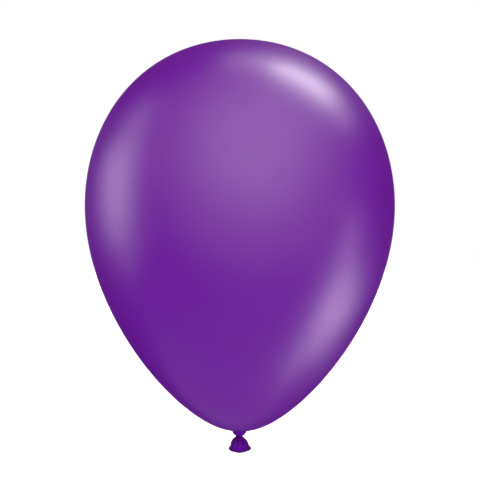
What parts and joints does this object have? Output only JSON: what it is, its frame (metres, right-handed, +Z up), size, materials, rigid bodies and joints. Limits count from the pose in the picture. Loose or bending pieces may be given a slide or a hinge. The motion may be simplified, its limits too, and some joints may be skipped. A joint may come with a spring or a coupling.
{
  "type": "latex balloon",
  "caption": "Inflated, tied party balloon: a pear-shaped stretched skin dimpled round its knot, a pinched waist, and a flared open tail with a rolled lip.",
  "frame": {"origin": "centre of the pinched waist, between the knot and the tail, where a ribbon is tied", "axes": "+Z up through the knot and the bubble to the crown; X and Y across, the balloon being round about Z"},
  "size_m": [0.2794, 0.2794, 0.373],
  "materials": {
    "stretched_latex": "satin",
    "slack_latex": "satin"
  },
  "bodies": {
    "knot": {"knot_wrap": "slack_latex"},
    "knot_strand": {"knot_core": "slack_latex"},
    "bubble": {"envelope": "stretched_latex", "neck": "stretched_latex"},
    "waist_strand": {"throat": "slack_latex"},
    "tail": {"tail_skirt": "slack_latex", "rolled_lip": "slack_latex"}
  },
  "joints": [
    {"name": "bubble_sway_x", "type": "hinge", "parent": "knot", "child": "knot_strand", "pos_m": [0, 0, 0.006], "axis": [1, 0, 0], "range_deg": [-15, 15], "stiffness_Nm_per_rad": 0.05},
    {"name": "bubble_sway_y", "type": "hinge", "parent": "knot_strand", "child": "bubble", "pos_m": [0, 0, 0.006], "axis": [0, 1, 0], "range_deg": [-15, 15], "stiffness_Nm_per_rad": 0.05},
    {"name": "tail_fold_x", "type": "hinge", "parent": "knot", "child": "waist_strand", "pos_m": [0, 0, 0], "axis": [1, 0, 0], "range_deg": [-40, 40], "stiffness_Nm_per_rad": 0.001},
    {"name": "tail_fold_y", "type": "hinge", "parent": "waist_strand", "child": "tail", "pos_m": [0, 0, 0], "axis": [0, 1, 0], "range_deg": [-40, 40], "stiffness_Nm_per_rad": 0.001}
  ]
}
